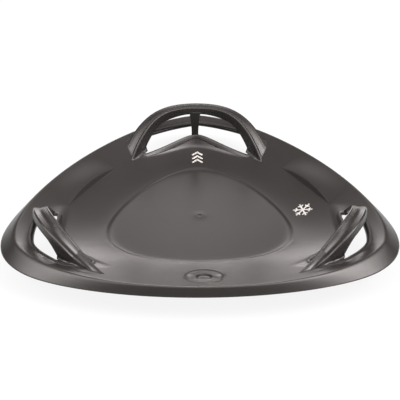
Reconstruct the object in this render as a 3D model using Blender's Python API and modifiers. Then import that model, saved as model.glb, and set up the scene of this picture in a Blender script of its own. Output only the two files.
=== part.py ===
"""Saucer sled: a three-cornered plastic dish with a grip arched over a hand hole at each corner.

Metres, +Z up. The origin is the middle of the seat's floor, on its upper face, and the front corner
points along +Y. Azimuths are measured about +Z from +X, so the corners stand at 90, 210 and 330 degrees.
Every plan outline is a support function: the distance of the tangent line whose normal has azimuth p.
"""
import math

import bmesh
import bpy
import numpy as np
from mathutils import Vector
from mathutils.bvhtree import BVHTree

# Outline terms: mean, then the parts that repeat three, six and nine times round
RIDGE_OUTLINE = (0.3266, 0.0351, -0.0014, 0.0007)
RIDGE_HEIGHT = (0.0589, 0.0026)
SEAT_OUTLINE = (0.1781, 0.0208, -0.0020, 0.0006)
SEAT_HEIGHT = (0.0043, 0.0013)
SEAT_STEP = (0.0085, 0.0045)
RIM_WIDTH = (0.0210, 0.0079, -0.0034)
RIM_DROP = (0.0159, 0.0019)

# Dish
WALL = 0.0030
DISH_CURVE = 1.25
DISH_STATIONS = (0.10, 0.22, 0.36, 0.50, 0.64, 0.78, 0.90, 0.97)
RIM_STATIONS = ((0.16, 0.09), (0.55, 0.50), (1.0, 1.0))
DISH_SEGMENTS = 120
FIT_GAP = 0.0003

# Hand holes
HOLE_LAND = 0.0290
HOLE_CORNER = 0.0060
HOLE_CORNER_STEPS = 5
HOLE_LEDGE = 0.45
CUTTER_REACH = 0.15

# Grips: channel section. Flank points are the distance out from the crest line, the drop below it
# and the share of the skirt's depth. Top points are the share of the width and the height above the
# straight line between the crests.
GRIP_WALL = 0.0028
GRIP_STATIONS = 45
GRIP_DIP = 0.0008
GRIP_TOP = ((0.11, 0.0003), (0.30, -0.5 * GRIP_DIP), (0.50, -GRIP_DIP), (0.70, -0.5 * GRIP_DIP),
            (0.88, 0.0002))
INNER_FLANK = ((-0.0016, 0.0, 1.0), (-0.0010, 0.0, 0.55), (-0.0004, 0.0030, 0.0), (0.0008, 0.0008, 0.0))
OUTER_FLANK = ((-0.0010, 0.0009, 0.0), (0.0005, 0.0034, 0.0), (0.0018, 0.0, 0.55), (0.0026, 0.0, 1.0))
SKIRT_FLOOR = 0.0080
SKIRT_LEAST = 0.0070
SKIRT_LEAN = 0.0010
ARCH_FALL = 0.0228

# Front grip and its hole. The crest and plan terms of a grip are those of its half span
FRONT_AZIMUTH = 90.0
FRONT_SHIFT = 0.0040
FRONT_HALF = 0.152
FRONT_INNER_PLAN = (0.2945, -0.0693, -0.0587)
FRONT_INNER_CREST = (0.1080, 0.0, -0.0998)
FRONT_OUTER_CREST = (0.1088, -0.0139, -0.0988)
FRONT_GRIP_WIDTH = (0.0305, 0.0)
FRONT_INNER_SKIRT = 0.0145
FRONT_OUTER_SKIRT = 0.0150
FRONT_ARCH = (0.060, 0.100)
FRONT_HOLE_HALF = 0.119
FRONT_WEB_BASE = (0.2605, 0.076, 0.25)
FRONT_WEB_EDGE = (0.2850, 0.070, 0.04)
FRONT_WEB_RISE = 0.0145
FRONT_WEB_REACH = 0.140
FRONT_WEB_HALF = 0.128

# Side grips and their holes, which stand a little forward of the corners' axes
SIDE_AZIMUTHS = (210.0, 330.0)
SIDE_GRIP_SHIFT = 0.0120
SIDE_HOLE_SHIFT = 0.0060
SIDE_HALF = 0.106
SIDE_INNER_PLAN = (0.2894, -0.0265, -0.0234)
SIDE_INNER_CREST = (0.0917, -0.0452, -0.0696, 0.0340)
SIDE_OUTER_CREST = (0.0917, -0.0483, -0.0696, 0.0340)
SIDE_GRIP_WIDTH = (0.0285, -0.0079)
SIDE_INNER_SKIRT = 0.0125
SIDE_OUTER_SKIRT = 0.0105
SIDE_ARCH = (0.025, 0.052)
SIDE_HOLE_HALF = 0.088
SIDE_WEB_BASE = (0.2745, 0.052, 0.01)
SIDE_WEB_EDGE = (0.2920, 0.055, 0.04)
SIDE_WEB_RISE = 0.0095
SIDE_WEB_REACH = 0.110
SIDE_WEB_HALF = 0.088

# Struts between the holes' inner edges and the grips
STRUT_FOOT_HALF = 0.0070
STRUT_HEAD_HALF = 0.0120
STRUT_WALL = 0.0030
STRUT_SET = 0.0006
STRUT_BITE = 0.0012
WEB_WALL = 0.0026
WEB_PROUD = 0.0002
WEB_STATIONS = 33
WEB_ROWS = 7

# Tow boss: an oval cup let into the near side, with a lens-shaped eye in its middle
BOSS_AZIMUTH = 270.0
BOSS_OFFSET = 0.0040
BOSS_INSET = 0.0614
BOSS_LENGTH = 0.0690
BOSS_WIDTH = 0.0760
BOSS_WALL = 0.0026
BOSS_SECTION = ((1.00, 0.0), (0.95, 0.0), (0.90, -0.0012), (0.84, -0.0042), (0.80, -0.0048),
                (0.54, -0.0048), (0.50, -0.0040), (0.44, -0.0012), (0.38, -0.0004), (0.18, 0.0002))
BOSS_SEGMENTS = 48
SLOT_LENGTH = 0.0080
SLOT_WIDTH = 0.0200
SLOT_DEPTH = 0.0014
SOCKET_REACH = 0.0200

UNIT = 0.1


def fresh_scene():
    """Empty the scene and make the part and cutter collections."""
    for item in list(bpy.data.objects):
        bpy.data.objects.remove(item, do_unlink=True)
    part = bpy.data.collections.new("saucer_sled")
    tools = bpy.data.collections.new("cutters")
    bpy.context.scene.collection.children.link(part)
    bpy.context.scene.collection.children.link(tools)
    return part, tools


def material(name, colour, roughness):
    """One plain Principled material."""
    made = bpy.data.materials.new(name)
    made.use_nodes = True
    shader = made.node_tree.nodes["Principled BSDF"]
    shader.inputs["Base Color"].default_value = (*colour, 1.0)
    shader.inputs["Roughness"].default_value = roughness
    return made


def new_object(name, vertices, faces, group):
    """Mesh object from vertex rows and faces."""
    mesh = bpy.data.meshes.new(name)
    mesh.from_pydata([tuple(map(float, v)) for v in vertices], [], faces)
    mesh.validate()
    made = bpy.data.objects.new(name, mesh)
    group.objects.link(made)
    return made


def harmonic(terms, angle):
    """Sum of the terms times the cosines that repeat 0, 3, 6 and 9 times from the front corner."""
    turn = angle - math.pi / 2
    return sum(term * np.cos(3 * k * turn) for k, term in enumerate(terms))


def outline(terms, angle):
    """Plan points of the outline whose support function has the given terms."""
    turn = angle - math.pi / 2
    reach = harmonic(terms, angle)
    slope = sum(-3 * k * term * np.sin(3 * k * turn) for k, term in enumerate(terms))
    return reach * np.cos(angle) - slope * np.sin(angle), reach * np.sin(angle) + slope * np.cos(angle)


def added(first, second):
    """Terms of two outlines added, the shorter padded with zeros."""
    size = max(len(first), len(second))
    pad = lambda terms: np.array(list(terms) + [0.0] * (size - len(terms)))
    return tuple(pad(first) + pad(second))


def even(terms, t, half):
    """Even polynomial in t as a share of the half span: its value there is the sum of the terms."""
    u = np.asarray(t, float) / half
    return sum(term * u ** (2 * k) for k, term in enumerate(terms))


def bend(terms, t):
    """Rounded chevron: its middle value less a slope times the rounded distance from the middle."""
    u = np.asarray(t, float) / UNIT
    return terms[0] - terms[1] * (np.sqrt(u ** 2 + terms[2]) - math.sqrt(terms[2]))


def placed(t, n, z, azimuth):
    """Points given across, outward and up in a corner's frame, as world points."""
    turn = math.radians(azimuth)
    t, n, z = np.broadcast_arrays(np.asarray(t, float), np.asarray(n, float), np.asarray(z, float))
    x = n * math.cos(turn) - t * math.sin(turn)
    y = n * math.sin(turn) + t * math.cos(turn)
    return np.stack([x, y, z], -1)


def dish_rings(lift):
    """Rings of the dish's upper face from the seat's middle out to the rim's edge."""
    angle = np.linspace(0.0, 2 * math.pi, DISH_SEGMENTS, endpoint=False)
    seat_x, seat_y = outline(SEAT_OUTLINE, angle)
    seat_z = harmonic(SEAT_HEIGHT, angle)
    floor_x, floor_y = outline(added(SEAT_OUTLINE, [-v for v in SEAT_STEP]), angle)
    ridge_x, ridge_y = outline(RIDGE_OUTLINE, angle)
    ridge_z = harmonic(RIDGE_HEIGHT, angle)
    rings = []
    for share in (0.45, 0.85, 1.0):
        rings.append((floor_x * share, floor_y * share, np.zeros_like(angle)))
    rings.append((seat_x, seat_y, seat_z))
    for share in DISH_STATIONS:
        rise = share ** DISH_CURVE
        rings.append((seat_x + (ridge_x - seat_x) * share,
                      seat_y + (ridge_y - seat_y) * share,
                      seat_z + (ridge_z - seat_z) * rise))
    rings.append((ridge_x, ridge_y, ridge_z))
    for across, down in RIM_STATIONS:
        width = tuple(v * across for v in RIM_WIDTH)
        rim_x, rim_y = outline(added(RIDGE_OUTLINE, width), angle)
        rings.append((rim_x, rim_y, ridge_z - harmonic(RIM_DROP, angle) * down))
    return [np.stack([x, y, z + lift], -1) for x, y, z in rings]


def dish_mesh(name, group, lift):
    """Upper face of the dish as an open surface, facing up."""
    rings = dish_rings(lift)
    count = DISH_SEGMENTS
    vertices = [(0.0, 0.0, lift)]
    for ring in rings:
        vertices.extend(ring.tolist())
    faces = []
    for k in range(count):
        faces.append((0, 1 + k, 1 + (k + 1) % count))
    for r in range(len(rings) - 1):
        low = 1 + r * count
        high = low + count
        for k in range(count):
            step = (k + 1) % count
            faces.append((low + k, high + k, high + step, low + step))
    return new_object(name, vertices, faces, group)


def apply_all(item):
    """Replace the object's mesh by its evaluated mesh."""
    graph = bpy.context.evaluated_depsgraph_get()
    mesh = bpy.data.meshes.new_from_object(item.evaluated_get(graph))
    old = item.data
    item.modifiers.clear()
    item.data = mesh
    bpy.data.meshes.remove(old)


def thicken(item, wall, offset):
    """Give an open surface its wall."""
    step = item.modifiers.new("wall", "SOLIDIFY")
    step.thickness = wall
    step.offset = offset
    step.use_even_offset = True
    step.use_quality_normals = True


def combine(item, other, operation, folded=False):
    """Exact boolean with another object, applied at once; folded allows for faces that cross their own."""
    step = item.modifiers.new(operation.lower(), "BOOLEAN")
    step.operation = operation
    step.solver = "EXACT"
    step.use_self = folded
    step.object = other
    apply_all(item)


def as_cutter(item):
    """Mark an object as a cutter that is never shown."""
    item.hide_render = True
    item.display_type = "WIRE"


def drop_solid(item, bottom):
    """Close an open upward surface into a solid that reaches down to a flat bottom."""
    work = bmesh.new()
    work.from_mesh(item.data)
    top = list(work.faces)
    copy = bmesh.ops.duplicate(work, geom=top)
    low_faces = [g for g in copy["geom"] if isinstance(g, bmesh.types.BMFace)]
    low_verts = [g for g in copy["geom"] if isinstance(g, bmesh.types.BMVert)]
    for vert in low_verts:
        vert.co.z = bottom
    bmesh.ops.reverse_faces(work, faces=low_faces)
    rims = [edge for edge in work.edges if edge.is_boundary]
    bmesh.ops.bridge_loops(work, edges=rims)
    bmesh.ops.recalc_face_normals(work, faces=work.faces)
    work.to_mesh(item.data)
    work.free()


def prism(name, group, plan, low, high):
    """Upright prism over a closed plan outline."""
    count = len(plan)
    vertices = [(x, y, low) for x, y in plan] + [(x, y, high) for x, y in plan]
    faces = [tuple(range(count - 1, -1, -1)), tuple(range(count, 2 * count))]
    for k in range(count):
        step = (k + 1) % count
        faces.append((k, step, count + step, count + k))
    made = new_object(name, vertices, faces, group)
    work = bmesh.new()
    work.from_mesh(made.data)
    bmesh.ops.recalc_face_normals(work, faces=work.faces)
    work.to_mesh(made.data)
    work.free()
    return made


def rounded(corners, radius, steps):
    """Closed plan polygon with its sharp corners rounded."""
    corners = [Vector(c) for c in corners]
    count = len(corners)
    out = []
    for k in range(count):
        here = corners[k]
        back = corners[k - 1] - here
        ahead = corners[(k + 1) % count] - here
        turn = math.pi - back.angle(ahead)
        if turn < math.radians(30):
            out.append(tuple(here))
            continue
        reach = min(radius * math.tan(turn / 2), 0.45 * back.length, 0.45 * ahead.length)
        start = here + back.normalized() * reach
        end = here + ahead.normalized() * reach
        for step in range(steps + 1):
            share = step / steps
            out.append(tuple(start.lerp(here, share).lerp(here.lerp(end, share), share)))
    return out


def hole_plan(azimuth, base, edge, half, middle, web_middle):
    """Plan of a hand hole: its outer side runs parallel to the ridge, its inner side under the web."""
    angle = np.linspace(0.0, 2 * math.pi, 1440, endpoint=False)
    land = added(RIDGE_OUTLINE, (-HOLE_LAND,))
    x, y = outline(land, angle)
    turn = math.radians(azimuth)
    n = x * math.cos(turn) + y * math.sin(turn)
    t = -x * math.sin(turn) + y * math.cos(turn)
    keep = (n > 0) & (np.abs(t - middle) <= half + HOLE_CORNER)
    order = np.argsort(t[keep])
    outer_t = t[keep][order]
    outer_n = n[keep][order]
    across = np.linspace(middle - half, middle + half, 27)
    outer = np.interp(across, outer_t, outer_n)
    local = across - web_middle
    inner = bend(base, local) + HOLE_LEDGE * (bend(edge, local) - bend(base, local))
    corners = [(a, b) for a, b in zip(across, outer)]
    corners += [(a, b) for a, b in zip(across[::-1], inner[::-1])]
    plan = rounded(corners, HOLE_CORNER, HOLE_CORNER_STEPS)
    points = placed([p[0] for p in plan], [p[1] for p in plan], 0.0, azimuth)
    return [(p[0], p[1]) for p in points.tolist()]


def arch_drop(across, arch):
    """How far the outer skirt has come down at each place beside its arch, 0 in the middle."""
    over = np.clip((np.abs(across) - arch[0]) / (arch[1] - arch[0]), 0.0, None)
    return ARCH_FALL * over ** 2.2


def grip_rails(front):
    """The two crest lines of a grip, each as across, outward and up, station by station."""
    half = FRONT_HALF if front else SIDE_HALF
    plan = FRONT_INNER_PLAN if front else SIDE_INNER_PLAN
    inner_crest = FRONT_INNER_CREST if front else SIDE_INNER_CREST
    outer_crest = FRONT_OUTER_CREST if front else SIDE_OUTER_CREST
    t = np.linspace(-half, half, GRIP_STATIONS)
    n = even(plan, t, half)
    width = even(FRONT_GRIP_WIDTH if front else SIDE_GRIP_WIDTH, t, half)
    slope = np.gradient(n, t)
    size = np.sqrt(1 + slope ** 2)
    inner = (t, n, even(inner_crest, t, half))
    outer = (t - width * slope / size, n + width / size, even(outer_crest, t, half))
    return np.stack(inner, -1), np.stack(outer, -1)


def grip_object(name, group, azimuth, front, middle, below):
    """Channel-shaped grip swept between its two crest lines, cut to stand on the dish."""
    inner, outer = grip_rails(front)
    inner_skirt = FRONT_INNER_SKIRT if front else SIDE_INNER_SKIRT
    outer_skirt = FRONT_OUTER_SKIRT if front else SIDE_OUTER_SKIRT
    arch = FRONT_ARCH if front else SIDE_ARCH
    span = outer - inner
    flat = span.copy()
    flat[:, 2] = 0.0
    width = np.linalg.norm(flat, axis=1, keepdims=True)
    out = flat / width
    up = np.array([0.0, 0.0, 1.0])
    outer_low = np.maximum(outer[:, 2] - outer_skirt - arch_drop(inner[:, 0], arch), SKIRT_FLOOR)
    inner_low = np.maximum(inner[:, 2] - inner_skirt, SKIRT_FLOOR)
    outer_low = np.minimum(outer_low, outer[:, 2] - SKIRT_LEAST)
    inner_low = np.minimum(inner_low, inner[:, 2] - SKIRT_LEAST)
    inner_depth = (inner_low - inner[:, 2])[:, None]
    outer_depth = (outer_low - outer[:, 2])[:, None]
    columns = [inner + out * lean + up * (inner_depth * share - drop) for lean, drop, share in INNER_FLANK]
    columns += [inner + span * share + up * rise for share, rise in GRIP_TOP]
    columns += [outer + out * lean + up * (outer_depth * share - drop) for lean, drop, share in OUTER_FLANK]
    grid = np.stack(columns, 1)
    rows, cols = grid.shape[:2]
    points = placed(grid[..., 0] + middle, grid[..., 1], grid[..., 2], azimuth).reshape(-1, 3)
    faces = []
    for r in range(rows - 1):
        for c in range(cols - 1):
            a = r * cols + c
            faces.append((a, a + cols, a + cols + 1, a + 1))
    made = new_object(name, points, faces, group)
    face_up(made)
    thicken(made, GRIP_WALL, -1.0)
    apply_all(made)
    combine(made, below, "DIFFERENCE", folded=front)
    return made


def face_up(item):
    """Turn an open surface so that its faces look up on the whole."""
    total = sum(face.normal.z * face.area for face in item.data.polygons)
    if total < 0:
        item.data.flip_normals()


def dish_tree(item):
    """Search tree of a surface, for heights."""
    graph = bpy.context.evaluated_depsgraph_get()
    return BVHTree.FromObject(item, graph)


def height_on(tree, x, y):
    """Height of the surface under a plan point."""
    hit = tree.ray_cast(Vector((float(x), float(y), 1.0)), Vector((0.0, 0.0, -1.0)))
    return hit[0].z


def web_object(name, group, azimuth, front, middle, tree, below):
    """Raised inner edge of a hand hole, with the strut that rises from it to the grip."""
    base = FRONT_WEB_BASE if front else SIDE_WEB_BASE
    edge = FRONT_WEB_EDGE if front else SIDE_WEB_EDGE
    rise = FRONT_WEB_RISE if front else SIDE_WEB_RISE
    reach = FRONT_WEB_REACH if front else SIDE_WEB_REACH
    half = FRONT_WEB_HALF if front else SIDE_WEB_HALF
    crest = FRONT_INNER_CREST if front else SIDE_INNER_CREST
    plan = FRONT_INNER_PLAN if front else SIDE_INNER_PLAN
    skirt = FRONT_INNER_SKIRT if front else SIDE_INNER_SKIRT
    t = np.linspace(-half, half, WEB_STATIONS)
    height = rise * (1.0 - (t / reach) ** 2) ** 1.2
    start = bend(base, t)
    stop = bend(edge, t)
    rows = []
    for share in np.linspace(0.0, 1.0, WEB_ROWS):
        n = start + (stop - start) * share
        flat = placed(t + middle, n, 0.0, azimuth)
        ground = np.array([height_on(tree, p[0], p[1]) for p in flat])
        rows.append(placed(t + middle, n, ground + height * share ** 1.5 + WEB_PROUD, azimuth))
    grid = np.stack(rows, 0)
    count = len(t)
    faces = []
    for r in range(WEB_ROWS - 1):
        for c in range(count - 1):
            a = r * count + c
            faces.append((a, a + 1, a + count + 1, a + count))
    made = new_object(name, grid.reshape(-1, 3), faces, group)
    face_up(made)
    thicken(made, WEB_WALL, -1.0)
    apply_all(made)
    top_z = crest[0] - skirt - SKIRT_LEAN - FIT_GAP
    top_n = plan[0] - STRUT_SET
    foot_z = grid[-1, count // 2, 2] - STRUT_BITE
    foot_n = edge[0] - STRUT_SET
    strut = strut_object(group, azimuth, middle, (foot_n, foot_z), (top_n, top_z))
    combine(made, strut, "UNION")
    bpy.data.objects.remove(strut, do_unlink=True)
    combine(made, below, "DIFFERENCE")
    return made


def strut_object(group, azimuth, middle, foot, head):
    """Flat strut that widens towards its head, leaning with the grip."""
    profile = ((0.0, STRUT_FOOT_HALF), (0.35, STRUT_FOOT_HALF), (0.60, STRUT_FOOT_HALF * 1.12),
               (0.80, STRUT_FOOT_HALF * 1.35), (1.0, STRUT_HEAD_HALF))
    points = []
    for depth in (0.0, -STRUT_WALL):
        for side in (-1, 1):
            for share, half in (profile if side < 0 else profile[::-1]):
                n = foot[0] + (head[0] - foot[0]) * share + depth
                z = foot[1] + (head[1] - foot[1]) * share
                points.append(placed(middle + side * half, n, z, azimuth).tolist())
    count = len(points) // 2
    faces = [tuple(range(count)), tuple(range(2 * count - 1, count - 1, -1))]
    for k in range(count):
        step = (k + 1) % count
        faces.append((step, k, count + k, count + step))
    made = new_object("strut", points, faces, group)
    work = bmesh.new()
    work.from_mesh(made.data)
    bmesh.ops.recalc_face_normals(work, faces=work.faces)
    work.to_mesh(made.data)
    work.free()
    return made


def oval_plan(length, width, segments):
    """Points of an oval about the origin."""
    turn = np.linspace(0.0, 2 * math.pi, segments, endpoint=False)
    return [(0.5 * length * math.cos(a), 0.5 * width * math.sin(a)) for a in turn]


def boss_frame(tree):
    """Middle, long direction, upslope direction and normal of the dish where the boss sits."""
    turn = math.radians(BOSS_AZIMUTH)
    radius = float(harmonic(RIDGE_OUTLINE, turn)) - BOSS_INSET
    near = placed(BOSS_OFFSET, radius - 0.45 * BOSS_WIDTH, 0.0, BOSS_AZIMUTH)
    far = placed(BOSS_OFFSET, radius + 0.45 * BOSS_WIDTH, 0.0, BOSS_AZIMUTH)
    near_z = height_on(tree, near[0], near[1])
    far_z = height_on(tree, far[0], far[1])
    tilt = math.atan2(far_z - near_z, 0.90 * BOSS_WIDTH)
    along = Vector((-math.sin(turn), math.cos(turn), 0.0))
    level = Vector((math.cos(turn), math.sin(turn), 0.0))
    slope = level * math.cos(tilt) + Vector((0.0, 0.0, math.sin(tilt)))
    normal = Vector((0.0, 0.0, math.cos(tilt))) - level * math.sin(tilt)
    middle = placed(BOSS_OFFSET, radius, 0.0, BOSS_AZIMUTH)
    centre = Vector((float(middle[0]), float(middle[1]), 0.5 * (near_z + far_z)))
    return centre, along, slope, normal


def settle(item, frame):
    """Move an object's points from the boss's flat frame onto the dish."""
    centre, along, slope, normal = frame
    for vert in item.data.vertices:
        x, y, z = vert.co
        vert.co = centre + along * x + slope * y + normal * z
    work = bmesh.new()
    work.from_mesh(item.data)
    bmesh.ops.recalc_face_normals(work, faces=work.faces)
    work.to_mesh(item.data)
    work.free()


def boss_object(name, group, frame):
    """Oval rope boss: a shallow cup let into the dish, with a low lens in its middle and two end slots."""
    vertices = []
    for share, height in BOSS_SECTION:
        clear = FIT_GAP if share == 1.0 else 0.0
        plan = oval_plan(BOSS_LENGTH * share - 2 * clear, BOSS_WIDTH * share - 2 * clear, BOSS_SEGMENTS)
        vertices.extend((x, y, height) for x, y in plan)
    vertices.append((0.0, 0.0, 0.0003))
    faces = []
    for r in range(len(BOSS_SECTION) - 1):
        for k in range(BOSS_SEGMENTS):
            step = (k + 1) % BOSS_SEGMENTS
            a = r * BOSS_SEGMENTS
            faces.append((a + k, a + step, a + BOSS_SEGMENTS + step, a + BOSS_SEGMENTS + k))
    last = (len(BOSS_SECTION) - 1) * BOSS_SEGMENTS
    for k in range(BOSS_SEGMENTS):
        faces.append((last + k, last + (k + 1) % BOSS_SEGMENTS, len(vertices) - 1))
    made = new_object(name, vertices, faces, group)
    face_up(made)
    thicken(made, BOSS_WALL, -1.0)
    apply_all(made)
    floor = min(height for share, height in BOSS_SECTION)
    for side in (-1, 1):
        plan = [(-1, -1), (1, -1), (1, 1), (-1, 1)]
        middle = side * (0.5 * BOSS_LENGTH - 0.9 * SLOT_LENGTH)
        plan = [(middle + 0.5 * SLOT_LENGTH * x, 0.5 * SLOT_WIDTH * y) for x, y in plan]
        slot = prism("slot", group, plan, floor - SLOT_DEPTH, SOCKET_REACH)
        combine(made, slot, "DIFFERENCE")
        bpy.data.objects.remove(slot, do_unlink=True)
    settle(made, frame)
    return made


def finish(item, look, crease):
    """Clean the mesh, shade it smooth and give it its material."""
    work = bmesh.new()
    work.from_mesh(item.data)
    bmesh.ops.remove_doubles(work, verts=work.verts, dist=0.000001)
    bmesh.ops.dissolve_degenerate(work, edges=work.edges, dist=0.000001)
    bmesh.ops.recalc_face_normals(work, faces=work.faces)
    work.to_mesh(item.data)
    work.free()
    item.data.materials.clear()
    item.data.materials.append(look)
    item.data.shade_smooth()
    item.data.set_sharp_from_angle(angle=math.radians(crease))


def main():
    """Build every piece of the sled."""
    part, tools = fresh_scene()
    open_dish = dish_mesh("dish_face", tools, 0.0)
    tree = dish_tree(open_dish)
    raised = dish_mesh("raised_dish", tools, FIT_GAP)
    drop_solid(raised, -CUTTER_REACH)
    pan = dish_mesh("sled_pan", part, 0.0)
    thicken(pan, WALL, -1.0)
    apply_all(pan)
    left, right = SIDE_AZIMUTHS
    corners = (("front", FRONT_AZIMUTH, FRONT_SHIFT, FRONT_SHIFT),
               ("left", left, -SIDE_GRIP_SHIFT, -SIDE_HOLE_SHIFT),
               ("right", right, SIDE_GRIP_SHIFT, SIDE_HOLE_SHIFT))
    cutters = []
    for side, azimuth, grip_middle, hole_middle in corners:
        front = side == "front"
        base = FRONT_WEB_BASE if front else SIDE_WEB_BASE
        edge = FRONT_WEB_EDGE if front else SIDE_WEB_EDGE
        half = FRONT_HOLE_HALF if front else SIDE_HOLE_HALF
        plan = hole_plan(azimuth, base, edge, half, hole_middle, grip_middle)
        cutter = prism(side + "_hand_hole", tools, plan, -CUTTER_REACH, CUTTER_REACH)
        combine(pan, cutter, "DIFFERENCE")
        cutters.append(cutter)
    frame = boss_frame(tree)
    socket_plan = oval_plan(BOSS_LENGTH, BOSS_WIDTH, BOSS_SEGMENTS)
    socket = prism("boss_socket", tools, socket_plan, -SOCKET_REACH, SOCKET_REACH)
    settle(socket, frame)
    combine(pan, socket, "DIFFERENCE")
    cutters.append(socket)
    looks = {
        "pan": material("pan_plastic", (0.030, 0.029, 0.029), 0.42),
        "front_grip": material("front_grip_plastic", (0.030, 0.029, 0.029), 0.36),
        "left_grip": material("left_grip_plastic", (0.030, 0.029, 0.029), 0.36),
        "right_grip": material("right_grip_plastic", (0.030, 0.029, 0.029), 0.36),
        "front_web": material("front_web_plastic", (0.026, 0.025, 0.025), 0.45),
        "left_web": material("left_web_plastic", (0.026, 0.025, 0.025), 0.45),
        "right_web": material("right_web_plastic", (0.026, 0.025, 0.025), 0.45),
        "boss": material("boss_plastic", (0.030, 0.029, 0.029), 0.38),
    }
    finish(pan, looks["pan"], 32)
    for side, azimuth, grip_middle, hole_middle in corners:
        front = side == "front"
        grip = grip_object(side + "_grip", part, azimuth, front, grip_middle, raised)
        finish(grip, looks[side + "_grip"], 40)
        web = web_object(side + "_web", part, azimuth, front, grip_middle, tree, raised)
        finish(web, looks[side + "_web"], 40)
    boss = boss_object("tow_boss", part, frame)
    finish(boss, looks["boss"], 30)
    bpy.data.objects.remove(open_dish, do_unlink=True)
    for cutter in cutters + [raised]:
        as_cutter(cutter)


main()
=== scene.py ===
"""Looks of a three-cornered saucer sled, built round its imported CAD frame.

Everything is in metres in the frame's axes: +Z up out of the dish, +Y towards the front grip.
A corner's own frame is written across, outward, up: t, n, z, turned about +Z to its azimuth.
"""
import logging
import math
from dataclasses import dataclass, field
from enum import Enum
from functools import partial

import bpy
import numpy as np
from mathutils import Matrix, Vector


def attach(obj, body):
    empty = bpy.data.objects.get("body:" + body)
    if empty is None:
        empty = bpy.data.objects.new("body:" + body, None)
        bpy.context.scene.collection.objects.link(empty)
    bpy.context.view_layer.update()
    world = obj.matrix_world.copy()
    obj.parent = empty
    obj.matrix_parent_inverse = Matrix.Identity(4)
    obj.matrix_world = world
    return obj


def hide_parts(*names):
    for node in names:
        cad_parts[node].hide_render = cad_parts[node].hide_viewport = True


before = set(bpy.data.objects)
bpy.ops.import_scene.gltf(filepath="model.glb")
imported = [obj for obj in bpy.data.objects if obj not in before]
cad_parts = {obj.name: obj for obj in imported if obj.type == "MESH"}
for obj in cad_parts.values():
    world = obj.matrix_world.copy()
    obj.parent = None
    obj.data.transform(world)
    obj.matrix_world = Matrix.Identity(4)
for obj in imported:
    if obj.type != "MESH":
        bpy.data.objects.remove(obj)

LOG = logging.getLogger("sled")
Array = np.ndarray
Terms = tuple[float, ...]
Stroke = tuple[tuple[float, float], tuple[float, float], float]  # two ends and a width
UP = np.array([0.0, 0.0, 1.0])
MM_PER_M = 1000
CHEVRON_UNIT = 0.1  # the chevrons' slopes are written per tenth of a metre
FRONT_SHIFT = 0.0040  # how far the front grip and its hole stand towards the rider's left
SIDE_SHIFT = 0.0120  # how far a side grip stands forward of its corner's axis
# Where a grip's skirt is sampled, as shares of its depth, closer together near its edge
SKIRT_SHARES = (1.0, 0.93, 0.86, 0.79, 0.70, 0.58, 0.45, 0.30, 0.15)
# Moulded lines along a grip's top: place and half width as shares of the top's width, and rise
SIDE_LINES = (
    (0.08, 0.020, -0.00030), (0.19, 0.020, -0.00030), (0.31, 0.022, -0.00035),
    (0.60, 0.30, -0.00090), (0.95, 0.05, 0.00040),
)
FRONT_LINES = (
    (0.14, 0.62, -0.0024), (0.0, 0.12, 0.0024), (0.24, 0.020, -0.00030),
    (0.36, 0.020, -0.00030), (0.80, 0.020, -0.00030),
)
# Strokes of the front print, two to a chevron
CHEVRONS = tuple(
    ((side * 0.0120, low), (-side * 0.0012, low + 0.0105), 0.0042)
    for low in (-0.0150, -0.0030, 0.0090)
    for side in (-1, 1)
)


class Corner(Enum):
    """The three corners of the dish, by the azimuth that each points along."""

    FRONT = 90.0
    LEFT = 210.0
    RIGHT = 330.0


def harmonic(terms: Terms, angle: Array) -> Array:
    """Mean plus cosines that repeat three, six and nine times from the front corner.

    Args:
        terms: the mean, then one amplitude for each repeat.
        angle: azimuths in radians.

    Returns:
        The sum at each azimuth.
    """
    turn = np.asarray(angle) - math.pi / 2
    return sum(term * np.cos(3 * k * turn) for k, term in enumerate(terms))


def outline(terms: Terms, angle: Array, outset: float = 0.0) -> tuple[Array, Array]:
    """Plan points of a rounded triangle given by its support function.

    The support h(p) is the distance of the tangent line whose normal has azimuth p. The
    point is h times the normal plus the slope of h times the tangent.

    Args:
        terms: terms of the support function.
        angle: azimuths of the normals.
        outset: distance that the whole outline is moved outwards.

    Returns:
        The x and y of each point.
    """
    turn = np.asarray(angle) - math.pi / 2
    reach = harmonic(terms, angle) + outset
    slope = sum(-3 * k * term * np.sin(3 * k * turn) for k, term in enumerate(terms))
    return reach * np.cos(angle) - slope * np.sin(angle), reach * np.sin(angle) + slope * np.cos(angle)


def summed(first: Terms, second: Terms, share: float = 1.0) -> Terms:
    """Terms of the first outline plus a share of the second's, the shorter padded with zeros."""
    total = np.zeros(max(len(first), len(second)))
    total[: len(first)] += first
    total[: len(second)] += share * np.array(second)
    return tuple(total)


def even(terms: Terms, t: Array, half: float) -> Array:
    """Even polynomial of t as a share u of the half span: c0 + c1 u^2 + c2 u^4 and so on."""
    u = np.asarray(t, float) / half
    return sum(term * u ** (2 * k) for k, term in enumerate(terms))


def chevron(terms: tuple[float, float, float], t: Array) -> Array:
    """Rounded chevron: the middle value less a slope times the rounded distance from the middle."""
    u = np.asarray(t, float) / CHEVRON_UNIT
    return terms[0] - terms[1] * (np.sqrt(u**2 + terms[2]) - math.sqrt(terms[2]))


def smooth(x: Array) -> Array:
    """Smooth step: 0 below 0, 1 above 1, and 3x^2 - 2x^3 between."""
    x = np.clip(x, 0.0, 1.0)
    return x * x * (3.0 - 2.0 * x)


def turns(count: int) -> Array:
    """Angles of a full turn in equal steps, without the last."""
    return np.linspace(0.0, 2 * math.pi, count, endpoint=False)


def to_world(t: Array, n: Array, azimuth: float) -> tuple[Array, Array]:
    """Plan point of a corner's frame as world x and y: the frame turned to its azimuth."""
    a = math.radians(azimuth)
    return n * math.cos(a) - t * math.sin(a), n * math.sin(a) + t * math.cos(a)


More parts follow.
